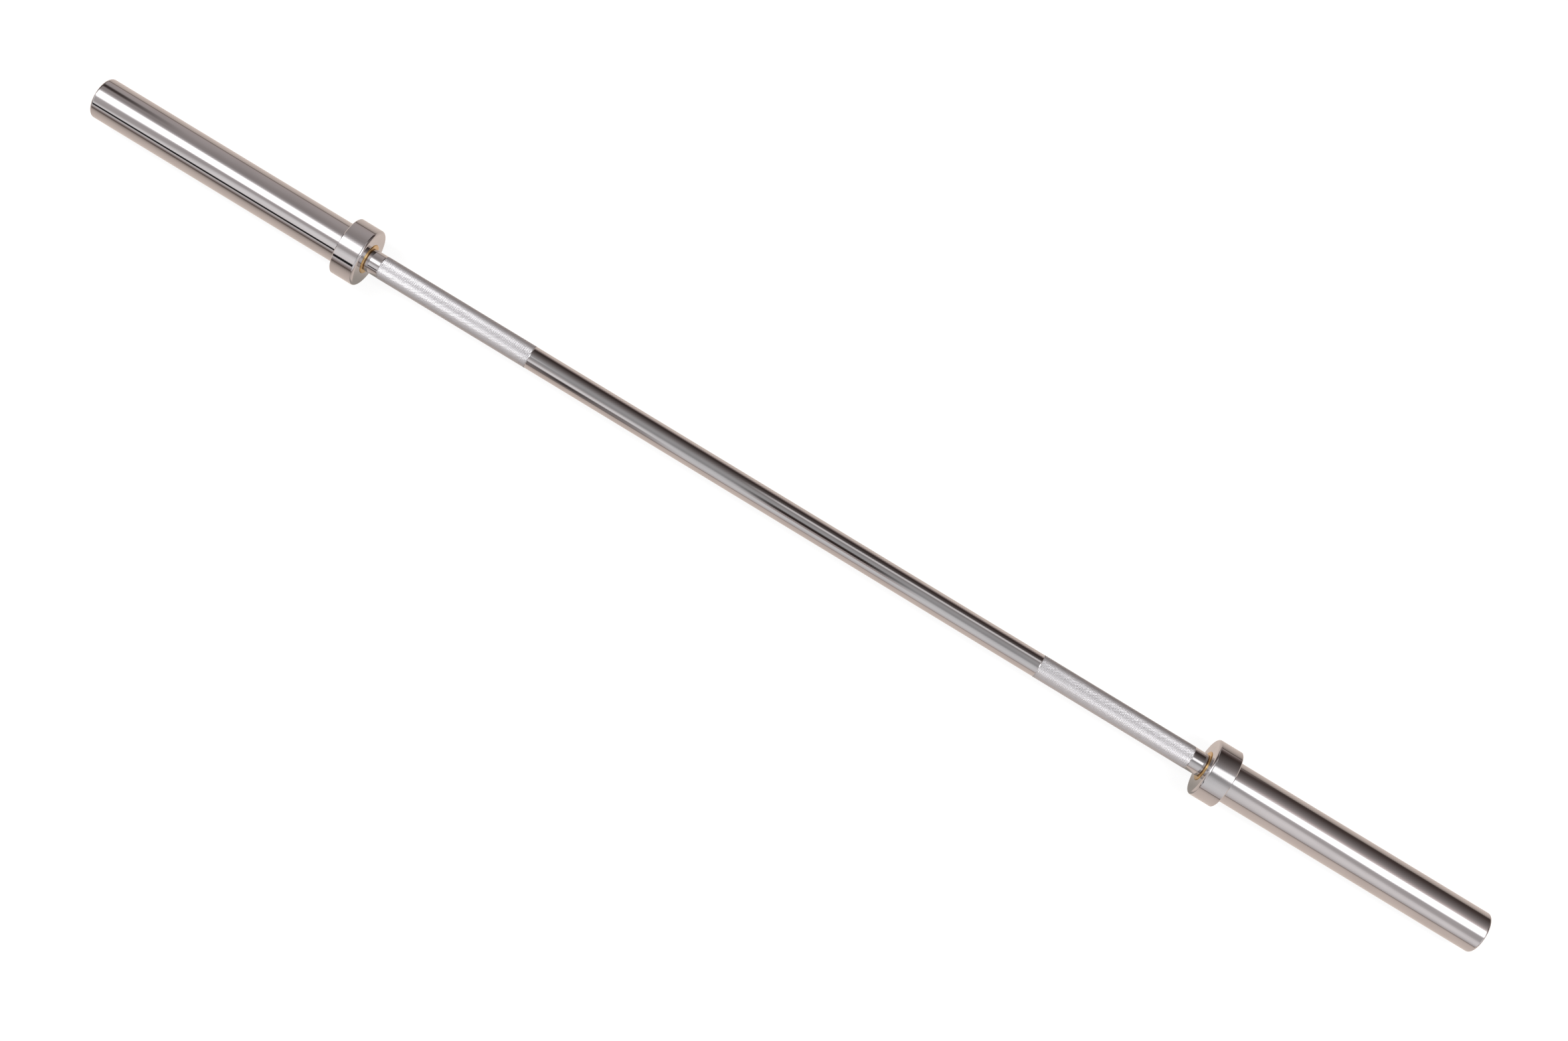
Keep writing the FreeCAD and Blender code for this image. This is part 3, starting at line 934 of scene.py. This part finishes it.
def leaning_mirror(lean):
    """A frosted mirror that faces outwards and so far round the bar."""
    outwards = {"Y": deep - high * lean, "Z": high + deep * lean}
    facing = Wire.node(tree, "ShaderNodeCombineXYZ", inputs=outwards)
    turn = {"vector_type": "NORMAL", "convert_from": "OBJECT", "convert_to": "WORLD"}
    facing = Wire.node(tree, "ShaderNodeVectorTransform", turn, {"Vector": facing})
    facing = Wire.node(tree, "ShaderNodeVectorMath", {"operation": "NORMALIZE"}, {0: facing})
    return Wire.node(tree, "ShaderNodeBsdfPrincipled", inputs={
        "Base Color": SHEEN_BASE,
        "Metallic": 1.0,
        "Roughness": SHEEN_ROUGHNESS,
        "Normal": facing,
    })


diamonds = Wire.node(tree, "ShaderNodeBsdfPrincipled", inputs={
    "Base Color": crest.mix(VALLEY_PAINTED_SHADE, CREST),
    "Metallic": 1.0,
    "Roughness": VALLEY_ROUGHNESS - crest * CREST_POLISH + grain * GRAIN_ROUGHNESS,
    "Normal": ripple(grain, GRAIN_DEPTH),
})
both_ways = {0: 0.5, 1: leaning_mirror(SHEEN_LEAN), 2: leaning_mirror(-SHEEN_LEAN)}
sheen = Wire.node(tree, "ShaderNodeMixShader", inputs=both_ways)
surface = Wire.node(tree, "ShaderNodeMixShader", inputs={0: SHEEN_SHARE, 1: diamonds, 2: sheen})
Wire.node(tree, "ShaderNodeOutputMaterial", inputs={"Surface": surface})
print("knurl chrome:", len(tree.nodes), "nodes")

# %% [markdown]
# ## Bronze and steel
# The bush is turned bearing bronze: golden, with fine rings left by the tool. The inner washers are
# ground steel, the snap rings are blackened spring steel, and the end caps have a satin zinc plate with
# turning rings. Distance from the axis draws the rings in each of them.

# %% Other metals
RINGS = (4200, 4200, 1)
RINGS_ROUGHNESS = 0.10
PATCHES = (160, 160, 160)
PATCHES_DEEP = (0.3, 0.72)
PATCHES_DULL = (0.4, 0.8)
PATCHES_ROUGHNESS = 0.10
METALS = {
    "bronze": {
        "name": "turned_bronze",
        "pale": (0.70, 0.48, 0.215, 1.0),
        "deep": (0.58, 0.37, 0.15, 1.0),
        "roughness": 0.14,
        "ring_depth": 0.0002,
    },
    "washer_steel": {
        "name": "ground_steel",
        "pale": (0.58, 0.58, 0.58, 1.0),
        "deep": (0.48, 0.48, 0.49, 1.0),
        "roughness": 0.26,
        "ring_depth": 0.0012,
    },
    "spring_steel": {
        "name": "black_spring_steel",
        "pale": (0.13, 0.13, 0.14, 1.0),
        "deep": (0.08, 0.08, 0.085, 1.0),
        "roughness": 0.30,
        "ring_depth": 0.001,
    },
    "cap_steel": {
        "name": "satin_zinc",
        "pale": (0.62, 0.62, 0.63, 1.0),
        "deep": (0.54, 0.54, 0.55, 1.0),
        "roughness": 0.22,
        "ring_depth": 0.0012,
    },
}


def turned_metal(name, pale, deep, roughness, ring_depth):
    """A turned metal with fine rings round the axis and soft patches of tarnish."""
    material = bpy.data.materials.new(name)
    tree = fresh_tree(material)
    place = Wire.node(tree, "ShaderNodeTexCoord", output="Object")
    outwards = Wire.node(tree, "ShaderNodeCombineXYZ", inputs={
        "X": place.part("X"),
        "Y": distance(place.part("Y"), place.part("Z")),
    })
    rings = outwards.noise(RINGS, detail=2.0)
    patches = place.noise(PATCHES, detail=4.0)
    dullness = rings * RINGS_ROUGHNESS + patches.between(*PATCHES_DULL) * PATCHES_ROUGHNESS
    dress(tree, {
        "Base Color": patches.between(*PATCHES_DEEP).mix(pale, deep),
        "Metallic": 1.0,
        "Roughness": roughness + dullness,
        "Normal": ripple(rings, ring_depth),
    })
    print(f"{name}: {len(tree.nodes)} nodes")
    return material


metals = {slot: turned_metal(**finish) for slot, finish in METALS.items()}

# %% [markdown]
# ## Finishes onto pieces
# Each piece takes the finish of its material in the record. The shaft takes two: chrome all over, and
# knurl chrome on the faces that lie inside the two bands.

# %% Give the finishes
finishes = {"chrome": chrome, **metals}
slots = {entry["node"]: entry["material_slot"] for entry in frame["record"]["subparts"]}
for node, solid in nodes.items():
    for held in solid.material_slots:
        held.material = finishes[slots[node]]

pairs = {"collar": collars, "sleeve": sleeves, "inner_bush": bushes, "end_cap": caps}
for part, pair in pairs.items():
    for side, piece in zip(SIDES, pair):
        slot = slots[f"{side}_{part}"]
        piece.data.materials.append(finishes[slot])

shaft.data.materials.append(chrome)
shaft.data.materials.append(knurl_chrome)
knurled = 0
for face in shaft.data.polygons:
    on_band = KNURL_IN * MM < abs(face.center.x) < KNURL_OUT * MM
    face.material_index = int(on_band)
    knurled += on_band
print(f"{knurled} knurled faces")
